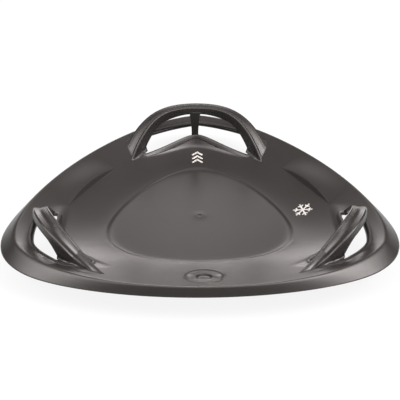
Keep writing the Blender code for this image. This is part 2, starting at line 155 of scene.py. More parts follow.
def to_corner(x: Array, y: Array, azimuth: float) -> tuple[Array, Array]:
    """World plan point as a corner's across and outward: the inverse of to_world."""
    a = math.radians(azimuth)
    return -x * math.sin(a) + y * math.cos(a), x * math.cos(a) + y * math.sin(a)


def unit(v: Array) -> Array:
    """Vectors brought to length one."""
    return v / np.maximum(np.linalg.norm(v, axis=-1, keepdims=True), 1e-12)


def grid_faces(rows: int, cols: int, wrap: bool) -> Array:
    """Quads of a grid of rows by cols points, with the last column joined to the first if wrapped."""
    r = np.arange(rows - 1)[:, None]
    c = np.arange(cols if wrap else cols - 1)[None, :]
    d = (c + 1) % cols
    a, b = r * cols + c, r * cols + d
    e, f = (r + 1) * cols + d, (r + 1) * cols + c
    return np.stack([a, b, e, f], -1).reshape(-1, 4)


def mesh_object(name: str, points: Array, faces: Array | list) -> bpy.types.Object:
    """Object made of points and faces, smooth shaded.

    Args:
        name: the piece's name.
        points: vertices, in world metres, last axis of size three.
        faces: quads as an array, or a list of index lists.

    Returns:
        The new object, linked to the scene.
    """
    mesh = bpy.data.meshes.new(name)
    flat = np.asarray(points, float).reshape(-1, 3)
    mesh.from_pydata(flat.tolist(), [], faces.tolist() if isinstance(faces, np.ndarray) else faces)
    mesh.validate()
    mesh.polygons.foreach_set("use_smooth", np.ones(len(mesh.polygons), bool))
    made = bpy.data.objects.new(name, mesh)
    bpy.context.scene.collection.objects.link(made)
    return made


def shell(name: str, points: Array, faces: Array | list, thickness: float) -> bpy.types.Object:
    """Open sheet turned so that its faces look up on the whole, with its wall below them.

    Args:
        name: the piece's name.
        points: vertices of the upper face.
        faces: quads as an array, or a list of index lists.
        thickness: the wall.

    Returns:
        The new object.
    """
    piece = mesh_object(name, points, faces)
    normals = np.zeros(len(piece.data.polygons) * 3, np.float32)
    areas = np.zeros(len(piece.data.polygons), np.float32)
    piece.data.polygons.foreach_get("normal", normals)
    piece.data.polygons.foreach_get("area", areas)
    if (normals.reshape(-1, 3)[:, 2] * areas).sum() < 0:
        piece.data.flip_normals()
    step = piece.modifiers.new("wall", "SOLIDIFY")
    step.thickness = thickness
    step.offset = -1.0
    step.use_even_offset = False
    step.use_quality_normals = True
    return piece


def soften(piece: bpy.types.Object, width: float, segments: int, angle: float) -> None:
    """Round the edges that turn by more than an angle in degrees."""
    step = piece.modifiers.new("edges", "BEVEL")
    step.width = width
    step.segments = segments
    step.limit_method = "ANGLE"
    step.angle_limit = math.radians(angle)
    step.use_clamp_overlap = True
    step.harden_normals = False


def rub(piece: bpy.types.Object, amount: Array) -> None:
    """Give each vertex its amount of rubbing, which the plastic's material reads."""
    layer = piece.data.attributes.new("wear", "FLOAT", "POINT")
    layer.data.foreach_set("value", np.ravel(amount).astype(np.float32))


def settle(
    piece: bpy.types.Object, finish: bpy.types.Material, slot: str, *nodes: str
) -> bpy.types.Object:
    """Finish a piece and tie it to the frame.

    Args:
        piece: the piece.
        finish: its material.
        slot: not used.
        nodes: the CAD nodes it stands for.

    Returns:
        The piece.
    """
    piece.data.materials.append(finish)
    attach(piece, "root")
    if nodes:
        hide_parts(*nodes)
    LOG.info("%s: %d faces", piece.name, len(piece.data.polygons))
    return piece


def blank(made: bpy.types.Material | bpy.types.World) -> bpy.types.NodeTree:
    """Emptied node tree of a new material or world."""
    made.use_nodes = True
    made.node_tree.nodes.clear()
    return made.node_tree


def node(tree: bpy.types.NodeTree, kind: str, inputs: dict, **settings: str | bool) -> bpy.types.Node:
    """Add a shader node with its settings and links.

    Args:
        tree: the material's or world's node tree.
        kind: Blender's node type, without its prefix.
        inputs: socket name or number to a value, an output socket, or a node for its first output.
        settings: attributes of the node.

    Returns:
        The new node.
    """
    made = tree.nodes.new("ShaderNode" + kind)
    for key, value in settings.items():
        setattr(made, key, value)
    for key, value in inputs.items():
        if isinstance(value, bpy.types.Node):
            value = value.outputs[0]
        if isinstance(value, bpy.types.NodeSocket):
            tree.links.new(value, made.inputs[key])
        else:
            made.inputs[key].default_value = value
    return made


def linear(code: str) -> tuple[float, float, float, float]:
    """Colour of an sRGB hex code as linear light: x/12.92 when dark, else ((x+0.055)/1.055)^2.4."""
    parts = [int(code[k : k + 2], 16) / 255 for k in (1, 3, 5)]
    return (*[x / 12.92 if x <= 0.04045 else ((x + 0.055) / 1.055) ** 2.4 for x in parts], 1.0)


@dataclass(frozen=True)
class MouldedPolypropylene:
    """Satin injection-moulded polypropylene, coloured through, with a fine spark-eroded grain.

    The eye gets a soft grey-black sheen that breaks up over the grain, slightly paler and
    smoother where hands and snow have rubbed it, with a few hairline scuffs.
    """

    name: str
    deep: str = "#292727"
    pale: str = "#302e2d"
    rubbed: str = "#4a4643"
    roughness: float = 0.32
    uneven: float = 0.02  # how far the roughness strays either way
    polish: float = 0.05  # how much smoother full rubbing makes it
    ior: float = 1.62
    grain_mm: float = 1.3  # the real grain is about 0.2 mm, drawn coarse enough to show
    grain_depth: float = 0.22
    grain_tone: float = 0.12
    cloud_mm: float = 95.0
    mottle_mm: float = 9.0
    scuff_mm: float = 5.0
    scuff_length: float = 6.0  # length of a scuff over its width
    scuff_tone: float = 0.16

    def make(self) -> bpy.types.Material:
        """Build the material.

        Returns:
            A material that reads Object coordinates and the wear attribute.
        """
        made = bpy.data.materials.new(self.name)
        add = partial(node, blank(made))
        place = add("TexCoord", {}).outputs["Object"]
        cloud, grain, mottle = (
            add("TexNoise", {"Vector": place, "Scale": MM_PER_M / size, "Detail": detail, "Roughness": rough})
            for size, detail, rough in (
                (self.cloud_mm, 4.0, 0.55), (self.grain_mm, 2.0, 0.6), (self.mottle_mm, 3.0, 0.6)
            )
        )
        stretch = (self.scuff_length, 1.0, self.scuff_length)
        long = add("Mapping", {"Vector": place, "Rotation": (0.0, 0.0, 0.5), "Scale": stretch})
        scuff = add("TexNoise", {
            "Vector": long, "Scale": MM_PER_M / (self.scuff_mm * self.scuff_length),
            "Detail": 3.0, "Roughness": 0.7, "Distortion": 0.3,
        })
        scratch = add("MapRange", {"Value": scuff, "From Min": 0.66, "From Max": 0.74})
        worn = add("Attribute", {}, attribute_name="wear").outputs["Fac"]
        hand = add("Math", {0: worn, 1: mottle}, operation="MULTIPLY")
        lines = add("Math", {0: scratch, 1: self.scuff_tone}, operation="MULTIPLY")
        shown = add("Math", {0: hand, 1: lines}, operation="ADD", use_clamp=True)
        dots = add("MapRange", {
            "Value": grain, "From Min": 0.35, "From Max": 0.65, "To Max": self.grain_tone,
        })
        colour, paler = linear(self.deep), linear(self.pale)
        for share in (cloud, dots, shown):
            colour = add("Mix", {0: share, 6: colour, 7: paler}, data_type="RGBA").outputs[2]
            paler = linear(self.rubbed)
        rough = add("MapRange", {
            "Value": mottle, "From Min": 0.3, "From Max": 0.7,
            "To Min": self.roughness - self.uneven, "To Max": self.roughness + self.uneven,
        })
        smoother = add("Math", {0: worn, 1: -self.polish, 2: rough}, operation="MULTIPLY_ADD", use_clamp=True)
        bump = add("Bump", {"Height": grain, "Strength": self.grain_depth, "Distance": 0.00025})
        shader = add("BsdfPrincipled", {
            "Base Color": colour, "Roughness": smoother, "IOR": self.ior, "Normal": bump,
        })
        add("OutputMaterial", {"Surface": shader})
        return made


@dataclass(frozen=True)
class PadPrintedInk:
    """White pad-printing ink on polypropylene: flat, slightly chalky, thinned in small spots."""

    name: str = "white_pad_print"
    ink: str = "#dedcd8"
    thin: str = "#8d8987"
    spot_mm: float = 2.2

    def make(self) -> bpy.types.Material:
        """Build the material: ink, with a fine noise that lets the plastic grey through in spots."""
        made = bpy.data.materials.new(self.name)
        add = partial(node, blank(made))
        place = add("TexCoord", {}).outputs["Object"]
        spots = add("TexNoise", {
            "Vector": place, "Scale": MM_PER_M / self.spot_mm, "Detail": 3.0, "Roughness": 0.65,
        })
        gone = add("MapRange", {"Value": spots, "From Min": 0.56, "From Max": 0.70, "To Max": 0.8})
        colour = add("Mix", {0: gone, 6: linear(self.ink), 7: linear(self.thin)}, data_type="RGBA")
        bump = add("Bump", {"Height": spots, "Strength": 0.15, "Distance": 0.0002})
        shader = add("BsdfPrincipled", {"Base Color": colour.outputs[2], "Roughness": 0.55, "Normal": bump})
        add("OutputMaterial", {"Surface": shader})
        return made


@dataclass
class HandHole:
    """Plan and raised inner edge of one hand hole, in its corner's frame.

    The base and edge chevrons are the lines between which the pan rises to the hole.
    """

    corner: Corner
    middle: float
    half: float
    land: float
    round: float
    base: tuple[float, float, float]
    edge: tuple[float, float, float]
    rise: float
    reach: float
    web_middle: float
    fall: float = 0.020
    brow: float = 0.94  # share of the smooth step that is done at the edge
    spread: float = 1.3
    opened: float = 0.0
    near: float = 0.0  # +1 or -1: which end along t is nearer to the rider's back, 0 for neither
    trough_depth: float = 0.0034
    trough_gap: float = 0.0150
    trough_drop: float = 0.0030
    trough_back: float = 0.0150
    trough_from: tuple[float, float] = (0.010, 0.070)  # start and length of its deepening along t
    trough_to: tuple[float, float] = (0.108, 0.020)  # start and length of its end along t
    fine: int = 1200  # points of the outline while its corners are rounded
    passes: float = 0.9  # rounds of averaging, times the square of radius over step

    def hump(self, x: Array, y: Array) -> Array:
        """Height that the pan rises towards the hole's inner edge.

        From the base curve to the edge curve it rises by a smooth step, so a concave fillet
        turns into a steep wall and a rounded brow. It is largest at the middle and falls to 0
        at the reach by 1 - a^2 to a power; past the edge it falls off as a bell.
        """
        t, n = to_corner(x, y, self.corner.value)
        t = t - self.web_middle
        start, stop = chevron(self.base, t), chevron(self.edge, t)
        share = np.clip((n - start) / (stop - start), 0.0, 1.0)
        along = np.clip(1.0 - (t / self.reach) ** 2, 0.0, 1.0) ** self.spread
        past = np.exp(-((np.maximum(n - stop, 0.0) / self.fall) ** 2))
        return self.rise * along * smooth(self.brow * share) / smooth(self.brow) * past * (n > 0)

    def ridge_line(self, ridge: Terms, outset: float, sweep: float, count: int) -> tuple[Array, Array]:
        """The ridge on either side of the corner, moved outwards, as t in rising order and n."""
        angle = np.radians(self.corner.value) + np.linspace(-sweep, sweep, count)
        t, n = to_corner(*outline(ridge, angle, outset), self.corner.value)
        order = np.argsort(t)
        return t[order], n[order]

    def trough(self, x: Array, y: Array, ridge: Terms) -> Array:
        """Hollow between the hole's near side and a fold that runs parallel to the ridge.

        It drops by a smooth step inside the fold and rises evenly again towards the hole. Along
        the hole it deepens by a smooth step to the grip's foot and ends there by another.
        """
        if not self.near:
            return np.zeros(np.shape(x))
        t, n = to_corner(x, y, self.corner.value)
        edge_t, edge_n = self.ridge_line(ridge, outset=0.0, sweep=1.3, count=600)
        lean = np.interp(t, edge_t, np.gradient(edge_n, edge_t))
        over = (np.interp(t, edge_t, edge_n) - n) / np.sqrt(1.0 + lean**2) - self.trough_gap
        groove = smooth(over / self.trough_drop) * np.clip(1.0 - over / self.trough_back, 0.0, 1.0)
        begun, ended = (
            smooth((t * self.near - start) / length) for start, length in (self.trough_from, self.trough_to)
        )
        return -self.trough_depth * (begun * (1.0 - ended)) * groove * (n > 0)

    def plan(self, ridge: Terms, count: int = 240) -> Array:
        """Closed outline of the hole in world plan, evenly spaced and with rounded corners.

        The outer side runs parallel to the ridge, moved outwards by the square of the place
        from middle to end; the inner side is the edge curve, and the corners are rounded by
        repeated averaging of neighbours.

        Args:
            ridge: support terms of the ridge.
            count: points round the outline.

        Returns:
            The points, one row each, x and y.
        """
        edge_t, edge_n = self.ridge_line(ridge, outset=-self.land, sweep=1.2, count=1200)
        across = np.linspace(self.middle - self.half, self.middle + self.half, num=200)
        outer = np.interp(across, edge_t, edge_n) + self.opened * ((across - self.middle) / self.half) ** 2
        inner = chevron(self.edge, across - self.web_middle)
        loop_t = np.concatenate([across, across[::-1]])
        loop_n = np.concatenate([outer, inner[::-1]])
        points = self.respace(np.stack([loop_t, loop_n], -1), self.fine)
        step = np.linalg.norm(np.roll(points, -1, 0) - points, axis=1).mean()
        for _ in range(int((self.round / step) ** 2 * self.passes)):
            points = 0.25 * np.roll(points, 1, 0) + 0.5 * points + 0.25 * np.roll(points, -1, 0)
        points = self.respace(points, count)
        return np.stack(to_world(points[:, 0], points[:, 1], self.corner.value), -1)

    @staticmethod
    def respace(points: Array, count: int) -> Array:
        """Closed polyline resampled at equal steps of its length."""
        loop = np.vstack([points, points[:1]])
        run = np.concatenate([[0.0], np.cumsum(np.linalg.norm(np.diff(loop, axis=0), axis=1))])
        at = np.linspace(0.0, run[-1], count, endpoint=False)
        return np.stack([np.interp(at, run, loop[:, k]) for k in range(2)], -1)


def signed_distance(points: Array, loop: Array) -> tuple[Array, Array]:
    """Distance of plan points to a closed polygon, negative inside, and the nearest points on it.

    Each point is dropped on every side of the polygon and the nearest foot is kept. A point is
    inside if a ray from it along +X crosses the polygon an odd number of times.

    Args:
        points: plan points, one row each.
        loop: the polygon's corners, one row each.

    Returns:
        The distances, and the nearest points.
    """
    a, b = loop, np.roll(loop, -1, 0)
    side = b - a
    rel = points[:, None, :] - a[None]
    share = np.clip((rel * side).sum(-1) / np.maximum((side**2).sum(-1), 1e-18), 0.0, 1.0)
    foot = a[None] + share[..., None] * side[None]
    gap = np.linalg.norm(points[:, None, :] - foot, axis=-1)
    best = gap.argmin(1)
    rows = np.arange(len(points))
    above = (a[None, :, 1] > points[:, None, 1]) != (b[None, :, 1] > points[:, None, 1])
    with np.errstate(divide="ignore", invalid="ignore"):
        cross = a[None, :, 0] + (points[:, None, 1] - a[None, :, 1]) * side[None, :, 0] / side[None, :, 1]
    inside = (above & (points[:, None, 0] < cross)).sum(1) % 2 == 1
    return np.where(inside, -1.0, 1.0) * gap[rows, best], foot[rows, best]


@dataclass
class DishPan:
    """The dish: sunken seat, rising sides, rounded ridge and turned-down rim, with its relief."""

    ridge: Terms = (0.3266, 0.0351, -0.0014, 0.0007)
    ridge_height: Terms = (0.0589, 0.0026)
    seat: Terms = (0.1781, 0.0208, -0.0020, 0.0006)
    seat_height: Terms = (0.0043, 0.0013)
    step: Terms = (0.0085, 0.0045)
    rim_width: Terms = (0.0210, 0.0079, -0.0034)
    rim_drop: Terms = (0.0159, 0.0019)
    rim_curve: tuple[Terms, Terms] = ((0.0, 0.16, 0.55, 1.0), (0.0, 0.09, 0.50, 1.0))
    curve: float = 1.25
    wall: float = 0.0030
    columns: int = 420
    floor_shares: Terms = (
        0.006, 0.013, 0.020, 0.028, 0.037, 0.05, 0.08, 0.13, 0.20, 0.28,
        0.37, 0.46, 0.55, 0.64, 0.73, 0.81, 0.88, 0.94, 0.98,
    )
    step_rings: int = 7
    side_rings: int = 70
    rim_rings: int = 16
    crowding: tuple[tuple[float, float, float], ...] = ((0.0, 0.05, 3.0), (0.56, 0.08, 5.5), (1.0, 0.05, 3.0))
    smoothing: int = 4
    unsmoothed: int = 7  # rings next to the middle that the smoothing leaves as they are
    gate_radius: float = 0.0042
    gate_rise: float = 0.0010
    gate_inner: float = 0.4
    gate_fall: float = 3.0
    crease_azimuths: tuple[float, float] = (150.0, 30.0)
    crease_middle: float = 0.0500
    crease_half: float = 0.0860
    crease_out: float = 0.2240
    crease_bow: float = 0.0026
    crease_tilt: float = 0.0060
    crease_wide: float = 0.0058
    crease_thin: float = 0.0008
    crease_rise: float = 0.0080
    crease_fade: float = 0.060
    crease_even: float = 0.65
    hole_window: float = 0.16  # half side of the square round a hole in which grid points are tested
    ridge_wear: tuple[float, float] = (0.5, 0.0016)
    seat_wear: tuple[float, float] = (0.05, 0.16)
    holes: list[HandHole] = field(default_factory=list)
    cups: list[Array] = field(default_factory=list)

    def azimuths(self) -> Array:
        """Azimuths of the support normals, spaced for nearly even steps along the ridge.

        The ridge's radius of curvature is its support plus the support's second derivative, and
        the density of the azimuths goes with that radius to the power 0.7.
        """
        fine = np.linspace(0.0, 2 * math.pi, 7201)
        bend = tuple(term * (1 - (3 * k) ** 2) for k, term in enumerate(self.ridge))
        return self.spaced(fine, np.maximum(harmonic(bend, fine), 0.02) ** 0.7, self.columns + 1)[:-1]

    def shares(self) -> Array:
        """Shares of the way from the seat's edge to the ridge, closer together where the shape turns.

        Their density is one plus a bell for each crowded place, given as middle, width and gain.
        """
        fine = np.linspace(0.0, 1.0, 2001)
        bells = sum(gain * np.exp(-(((fine - place) / wide) ** 2)) for place, wide, gain in self.crowding)
        return self.spaced(fine, 1.0 + bells, self.side_rings + 1)

    @staticmethod
    def spaced(fine: Array, density: Array, count: int) -> Array:
        """As many values from end to end of a fine scale as asked, spaced by a density on it."""
        run = np.concatenate([[0.0], np.cumsum(0.5 * (density[1:] + density[:-1]))])
        return np.interp(np.linspace(0.0, run[-1], count), run, fine)

    def rings(self, angle: Array) -> Array:
        """Rings of the plain dish from the seat's middle out to the rim's edge.

        The floor is flat; an even slope leads up to the seat's edge; from there to the ridge
        the height goes with the share of the way to a power; past the ridge the rim falls by
        the rim curve. Averaging each ring with its neighbours rounds the folds.

        Args:
            angle: azimuths of the support normals.

        Returns:
            Points as rings by azimuths by three.
        """
        seat_x, seat_y = outline(self.seat, angle)
        seat_z = harmonic(self.seat_height, angle)
        floor_x, floor_y = outline(summed(self.seat, self.step, -1.0), angle)
        ridge_x, ridge_y = outline(self.ridge, angle)
        ridge_z = harmonic(self.ridge_height, angle)
        flat = np.zeros_like(seat_z)
        made = [(floor_x * share, floor_y * share, flat) for share in self.floor_shares]
        for share in np.linspace(0.0, 1.0, self.step_rings):
            made.append((floor_x + (seat_x - floor_x) * share, floor_y + (seat_y - floor_y) * share,
                         seat_z * share))
        for share in self.shares()[1:]:
            made.append((seat_x + (ridge_x - seat_x) * share, seat_y + (ridge_y - seat_y) * share,
                         seat_z + (ridge_z - seat_z) * share**self.curve))
        drop = harmonic(self.rim_drop, angle)
        for share in np.linspace(0.0, 1.0, self.rim_rings + 1)[1:]:
            x, y = outline(summed(self.ridge, self.rim_width, share), angle)
            made.append((x, y, ridge_z - drop * np.interp(share, *self.rim_curve)))
        grid = np.stack([np.stack(ring, -1) for ring in made])
        first = self.unsmoothed
        for _ in range(self.smoothing):
            inner = grid[1:-1].copy()
            inner[first:] = 0.25 * grid[:-2][first:] + 0.5 * inner[first:] + 0.25 * grid[2:][first:]
            grid[1:-1] = inner
        return grid

    def __post_init__(self) -> None:
        """Tabulate radius and height of each ring against the polar azimuth, for height()."""
        grid = self.rings(turns(1440))
        self.bearing = np.linspace(-math.pi, math.pi, 1081)
        polar = np.arctan2(grid[..., 1], grid[..., 0])
        self.radii, self.levels = (
            np.stack([np.interp(self.bearing, p, v, period=2 * math.pi) for p, v in zip(polar, values)])
            for values in (np.hypot(grid[..., 0], grid[..., 1]), grid[..., 2])
        )

    def plain(self, x: Array, y: Array) -> Array:
        """Height of the plain dish: along the point's bearing, between the rings on either side of it."""
        shape = np.shape(x)
        x, y = np.ravel(x), np.ravel(y)
        place = (np.arctan2(y, x) + math.pi) / (2 * math.pi) * (len(self.bearing) - 1)
        low = np.clip(place.astype(int), 0, len(self.bearing) - 2)
        part = place - low
        radii, levels = (
            table[:, low] * (1 - part) + table[:, low + 1] * part for table in (self.radii, self.levels)
        )
        reach = np.hypot(x, y)
        below = np.clip((radii < reach).sum(0) - 1, 0, len(radii) - 2)
        cols = np.arange(len(x))
        gap = radii[below + 1, cols] - radii[below, cols]
        share = np.clip((reach - radii[below, cols]) / np.maximum(gap, 1e-9), 0.0, 1.0)
        return (levels[below, cols] * (1 - share) + levels[below + 1, cols] * share).reshape(shape)

    def creases(self, x: Array, y: Array) -> Array:
        """Two lens-shaped facets that step the side up outwards.

        Along a crease the facet's width and rise go with 1 - a^2, a being the place from end to
        end, and its line bows outwards and leans with a. Across it the height rises over the
        width, by a share of an even rise and the rest of a smooth step, then dies away.
        """
        total = np.zeros(np.shape(x))
        for azimuth, hand in zip(self.crease_azimuths, (1.0, -1.0)):
            t, n = to_corner(x, y, azimuth)
            a = (t * hand - self.crease_middle) / self.crease_half
            lens = np.clip(1.0 - a**2, 0.0, 1.0)
            start = self.crease_out + self.crease_bow * lens - self.crease_tilt * a
            over = n - start
            width = np.maximum(self.crease_wide * lens, self.crease_thin)
            fade = 1.0 - smooth((over - width) / self.crease_fade)
            plain = np.clip(over / width, 0.0, 1.0)
            step = self.crease_even * plain + (1.0 - self.crease_even) * smooth(over / width)
            total += self.crease_rise * lens * step * fade * (n > 0)
        return total

    def relief(self, x: Array, y: Array) -> Array:
        """Everything that stands on the plain dish: humps and troughs at the holes, creases, gate's collar.

        In units of the gate's radius, the collar rises from its inner edge to 1 and dies away
        over its fall, both by a smooth step.
        """
        total = self.creases(x, y)
        for hole in self.holes:
            total = total + hole.hump(x, y) + hole.trough(x, y, self.ridge)
        reach = np.hypot(x, y) / self.gate_radius
        collar = self.gate_rise * smooth((reach - self.gate_inner) / (1.0 - self.gate_inner))
        return total + collar * (1.0 - smooth((reach - 1.0) / self.gate_fall))

    def height(self, x: Array, y: Array) -> Array:
        """Height of the pan's upper face."""
        return self.plain(x, y) + self.relief(x, y)

    def build(self, finish: bpy.types.Material) -> bpy.types.Object:
        """Make the pan: the grid of rings, opened at the hand holes and given its wall.

        Grid points inside a hole that touch a kept face move to the nearest place on its edge.

        Args:
            finish: the pan's material.

        Returns:
            The pan.
        """
        grid = self.rings(self.azimuths())
        rows, cols = grid.shape[:2]
        points = np.vstack([grid.reshape(-1, 3), [[0.0, 0.0, 0.0]]])
        faces = grid_faces(rows, cols, wrap=True)
        plan = points[:, :2].copy()
        moved = np.zeros(len(points), bool)
        for loop in [hole.plan(self.ridge) for hole in self.holes] + self.cups:
            near = np.flatnonzero(np.all(np.abs(plan - loop.mean(0)) < self.hole_window, axis=1))
            gap, foot = signed_distance(plan[near], loop)
            moved[near[gap < 0]] = True
            points[near[gap < 0], :2] = foot[gap < 0]
        kept = faces[~moved[faces].all(1)]
        level = self.plain(points[:, 0], points[:, 1])
        still = np.flatnonzero(~moved[:-1])
        level[still] = grid[..., 2].ravel()[still]
        points[:, 2] = level + self.relief(points[:, 0], points[:, 1])
        k = np.arange(cols)
        fan = np.stack([np.full(cols, rows * cols), (k + 1) % cols, k], -1)
        used = np.zeros(len(points), bool)
        used[kept] = True
        used[fan] = True
        remap = np.cumsum(used) - 1
        piece = shell("dish_pan", points[used], remap[kept].tolist() + remap[fan].tolist(), self.wall)
        rub(piece, self.wear(points[used]))
        return settle(piece, finish, "pan", "sled_pan")

    def wear(self, points: Array) -> Array:
        """Rubbing: a bell about the ridge and one about the seat's middle, each of a gain and a width."""
        angle = np.arctan2(points[:, 1], points[:, 0])
        reach = np.hypot(points[:, 0], points[:, 1])
        ridge = np.interp(angle, self.bearing, self.radii[-self.rim_rings - 1])
        return sum(
            gain * np.exp(-((off / wide) ** 2))
            for off, (gain, wide) in ((reach - ridge, self.ridge_wear), (reach, self.seat_wear))
        )


@dataclass
class HoleLip:
    """Rolled edge of a hand hole: a low bead on the pan that turns down into the hole."""

    name: str
    hole: HandHole
    slot: str
    profile: tuple[tuple[float, float], ...] = (
        (0.0092, -0.0002), (0.0072, 0.0003), (0.0052, 0.0009), (0.0036, 0.0012), (0.0022, 0.0011),
        (0.0010, 0.0006), (0.0002, -0.0004), (-0.0003, -0.0014), (-0.0004, -0.0026),
        (-0.0004, -0.0038), (-0.0004, -0.0050),
    )
    count: int = 260
    thickness: float = 0.0024

    def build(self, pan: DishPan, finish: bpy.types.Material) -> bpy.types.Object:
        """Carry the profile round the hole.

        Each profile point is a distance out from the hole's edge in plan and a height over the
        pan there; inside the edge it is a height over the edge itself.

        Args:
            pan: the dish the lip lies on.
            finish: its material.

        Returns:
            The lip.
        """
        loop = self.hole.plan(pan.ridge, self.count)
        along = unit(np.roll(loop, -1, 0) - np.roll(loop, 1, 0))
        out = np.stack([along[:, 1], -along[:, 0]], -1)
        area = 0.5 * np.sum(loop[:, 0] * np.roll(loop[:, 1], -1) - np.roll(loop[:, 0], -1) * loop[:, 1])
        out = out if area > 0 else -out
        off, up = np.array(self.profile).T
        plan = loop[None] + out[None] * off[:, None, None]
        where = loop[None] + out[None] * np.maximum(off, 0.0)[:, None, None]
        z = pan.height(where[..., 0], where[..., 1]) + up[:, None]
        points = np.concatenate([plan, z[..., None]], -1)
        piece = shell(self.name, points, grid_faces(len(off), len(loop), wrap=True), self.thickness)
        return settle(piece, finish, self.slot)


@dataclass
class ChannelGrip:
    """Grip: an upturned channel swept between two crest lines, its skirts flaring on to the pan.

    The plan, crests and width are even polynomials over the half span. Curtain, apron and arch
    are the places along t between which a skirt deepens, with the depth that it gains.
    """

    name: str
    cad_node: str
    corner: Corner
    middle: float
    half: float
    plan: Terms
    inner_crest: Terms
    outer_crest: Terms
    width: Terms
    inner_skirt: float
    outer_skirt: float
    arch: tuple[float, float]
    arch_drop: float = 0.0228
    arch_power: float = 2.2
    dip: float = 0.0008
    lines: tuple[tuple[float, float, float], ...] = ()
    round: float = 0.0030
    flare: float = 0.0060
    thickness: float = 0.0026
    sunk: float = 0.0004
    curtain: tuple[float, float, float] = (0.060, 0.100, 0.0)
    apron: tuple[float, float, float] = (0.012, 0.067, 0.0)
    lean: tuple[float, float] = (0.0016, 0.0026)
    landing: float = 0.004  # a skirt that ends this near to the pan is carried down into it
    buried: float = 0.0015
    least_skirt: float = 0.0005
    foot: tuple[float, float, float] = (0.35, 0.001, 0.0002)  # radius per height, clearance, least radius
    near: float = 0.0  # +1 or -1: the end along t that runs out in a toe, 0 for neither
    toe_from: float = 0.0740
    toe_inner: tuple[float, float] = (0.1420, 0.2570)
    toe_outer: tuple[float, float] = (0.1120, 0.2780)
    toe_end: float = 0.0007
    stations: int = 181
    crest_wear: tuple[float, float] = (0.5, 0.3)

    def rails(self, pan: DishPan) -> tuple[Array, Array]:
        """The two crest lines, each as across, outward, up: the outer one stands a width off the inner.

        At the near end both run straight on from the toe's start to its tips, and their height
        over the pan falls evenly to the toe's end.
        """
        hand = self.near or 1.0
        reach = self.toe_outer[0] if self.near else self.half
        along = np.linspace(-self.half, reach, self.stations)
        t = along * hand
        n = even(self.plan, t, self.half)
        wide = even(self.width, t, self.half)
        slope = np.gradient(n, t)
        size = np.sqrt(1 + slope**2)
        inner = np.stack([t, n, even(self.inner_crest, t, self.half)], -1)
        crest = even(self.outer_crest, t, self.half)
        outer = np.stack([t - wide * slope / size, n + wide / size, crest], -1)
        if self.near:
            s = np.clip((along - self.toe_from) / (reach - self.toe_from), 0.0, 1.0)[:, None]
            k = int(np.searchsorted(along, self.toe_from))
            for line, tip in ((inner, self.toe_inner), (outer, self.toe_outer)):
                start, high = line[k].copy(), line[k, 2] - self.ground(pan, line[k : k + 1])[0]
                line[k:, :2] = start[:2] + (np.array([tip[0] * hand, tip[1]]) - start[:2]) * s[k:]
                left = 1.0 - s[k:, 0]
                line[k:, 2] = self.ground(pan, line[k:]) + self.toe_end + (high - self.toe_end) * left
        return inner, outer

    def drops(self, t: Array) -> tuple[Array, Array]:
        """Depths to which the inner and the outer skirt hang at distances from the grip's middle.

        The curtain deepens by a square, the apron by a smooth step, the arch by its power.
        """
        under, over = (
            np.clip((t - place[0]) / (place[1] - place[0]), 0.0, None) for place in (self.curtain, self.arch)
        )
        early = smooth((t - self.apron[0]) / (self.apron[1] - self.apron[0]))
        inner = self.inner_skirt + self.curtain[2] * under**2 + self.apron[2] * early
        return inner, self.outer_skirt + self.arch_drop * over**self.arch_power

    def flank(
        self, pan: DishPan, crest: Array, inward: Array, lean: float, drop: Array
    ) -> tuple[list[Array], Array]:
        """One side of the section: its skirt and the quarter circle up to the top.

        The quarter circle lies r (1 - cos a) in from the crest and r (1 - sin a) below it.

        Args:
            pan: the dish the grip stands on.
            crest: the side's crest line.
            inward: unit vectors from the crest towards the middle of the top.
            lean: how far out the skirt's edge stands.
            drop: depth of the skirt.

        Returns:
            The columns from the skirt's edge upwards, and where the skirt lands on the pan.
        """
        ground = self.ground(pan, crest)
        lands = crest[:, 2] - drop < ground + self.landing
        deep = np.where(lands, crest[:, 2] - ground + self.buried, drop)
        deep = np.maximum(deep, self.round + self.least_skirt) - self.round
        columns = [
            crest - inward * (lean * share) - UP * (self.round + deep * share)[:, None]
            for share in SKIRT_SHARES
        ]
        columns += [
            crest + inward * self.round * (1 - math.cos(a)) - UP * self.round * (1 - math.sin(a))
            for a in np.linspace(0.0, math.pi / 2, 6)
        ]
        return columns, lands

    def landed(self, pan: DishPan, grid: Array, away: Array, head: Array, lands: Array) -> Array:
        """Flare the skirts' feet on to the pan, and lift what lies deeper than a grip may sink.

        At height h over the pan a foot of radius r flares out by r - sqrt(r^2 - (r - h)^2). The
        radius shrinks with the grip's height over the pan.

        Args:
            pan: the dish.
            grid: the grip's points, stations by columns by three.
            away: outward unit vector at each station.
            head: height of the inner crest over the pan at each station.
            lands: which points belong to a skirt that lands.

        Returns:
            The points, moved.
        """
        side = np.zeros(grid.shape[1])
        side[: len(SKIRT_SHARES)] = -1.0
        side[-len(SKIRT_SHARES) :] = 1.0
        high = grid[..., 2] - pan.height(grid[..., 0], grid[..., 1])
        share, clear, least = self.foot
        foot = np.clip(share * (head - clear), least, self.flare)[:, None]
        rise = np.clip(high, 0.0, foot)
        push = (foot - np.sqrt(np.maximum(foot**2 - (foot - rise) ** 2, 0.0))) * lands * (high < foot)
        grid = grid + away[:, None, :] * (push * side)[..., None]
        under = pan.height(grid[..., 0], grid[..., 1])
        z = np.where(push > 0, under + np.minimum(high, foot), grid[..., 2])
        floor = np.minimum(under, pan.plain(grid[..., 0], grid[..., 1]))
        grid[..., 2] = np.maximum(z, floor - self.sunk)
        return grid

